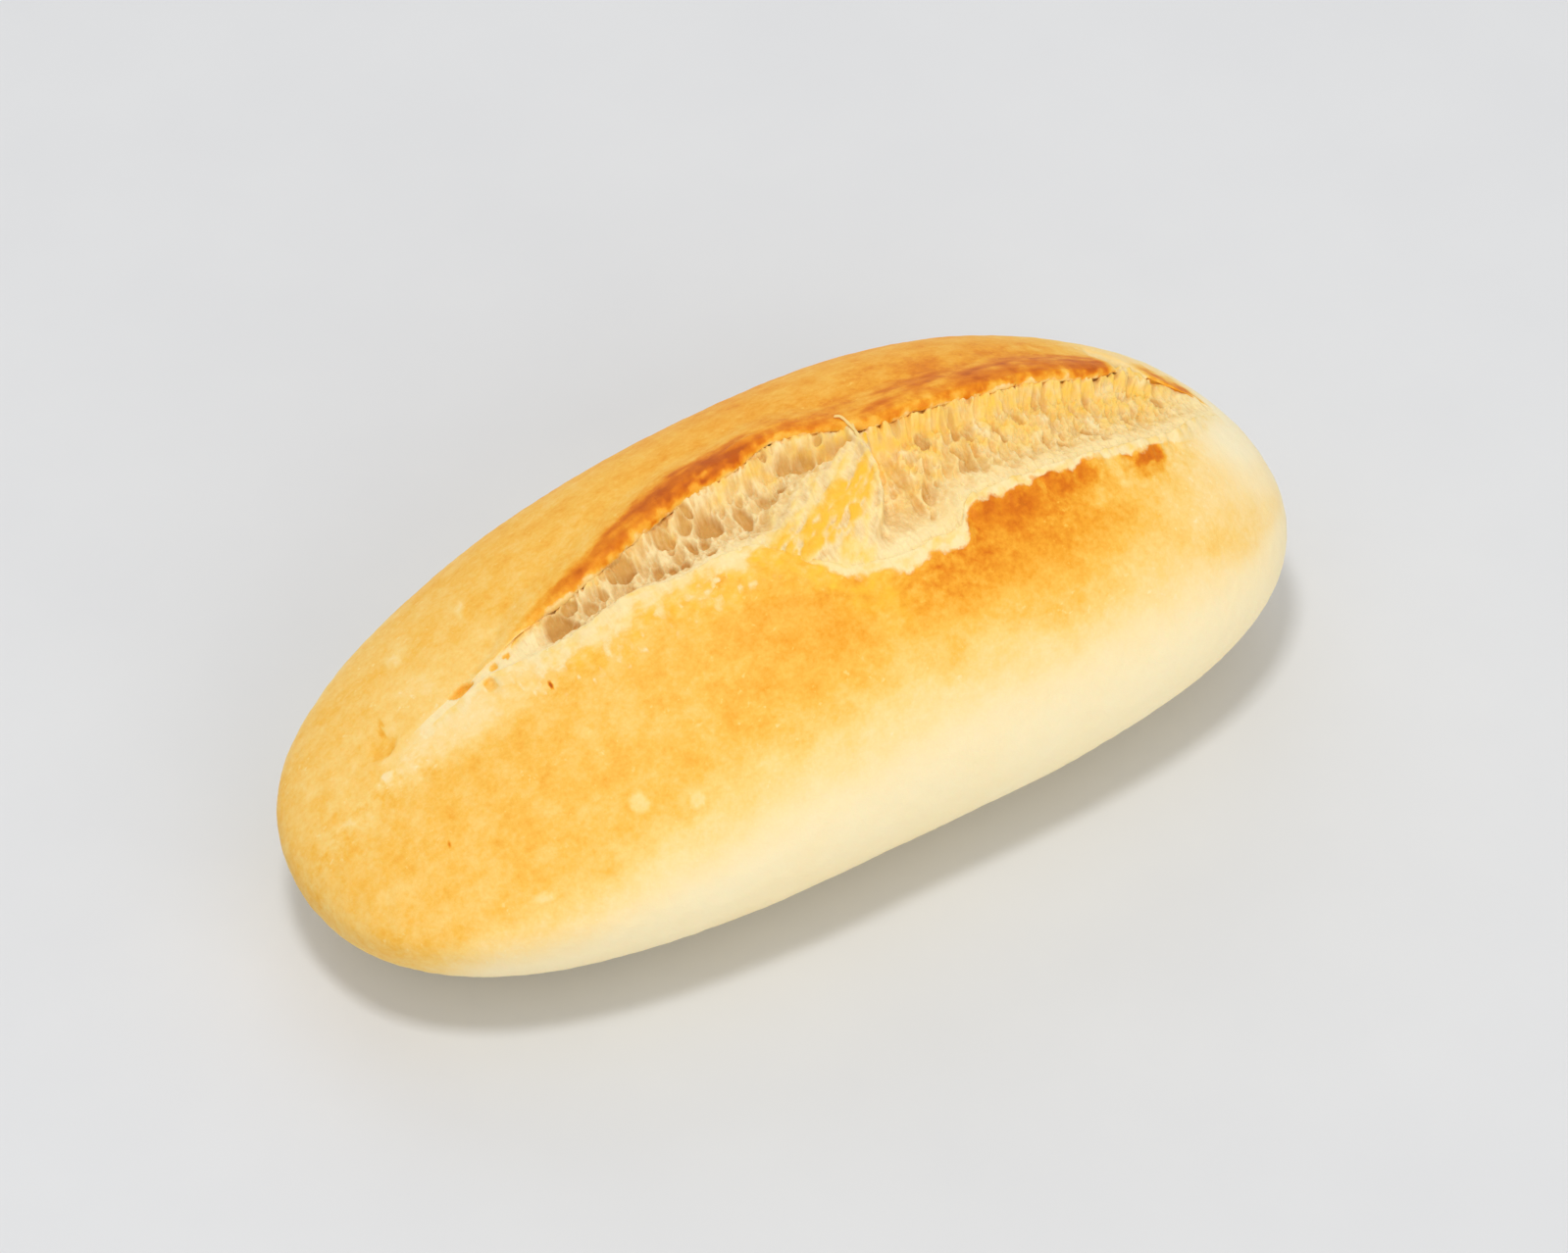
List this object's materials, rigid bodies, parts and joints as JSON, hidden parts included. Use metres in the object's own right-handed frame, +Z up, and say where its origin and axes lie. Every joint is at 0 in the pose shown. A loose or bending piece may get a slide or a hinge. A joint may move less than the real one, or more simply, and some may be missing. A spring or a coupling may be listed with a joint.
{
  "type": "baguette",
  "caption": "Short plump baguette roll with a golden crust, lying flat, opened along its crown by a long score that bares the crumb under a raised ear.",
  "frame": {"origin": "middle of the flat base, under the centre of the loaf's box", "axes": "+X along the loaf's length towards its blunter end, -Y towards the side that the score opens to, +Z up"},
  "size_m": [0.17, 0.08, 0.0569],
  "materials": {
    "crust": "matte"
  },
  "bodies": {
    "root": {"loaf": "crust"}
  },
  "joints": []
}
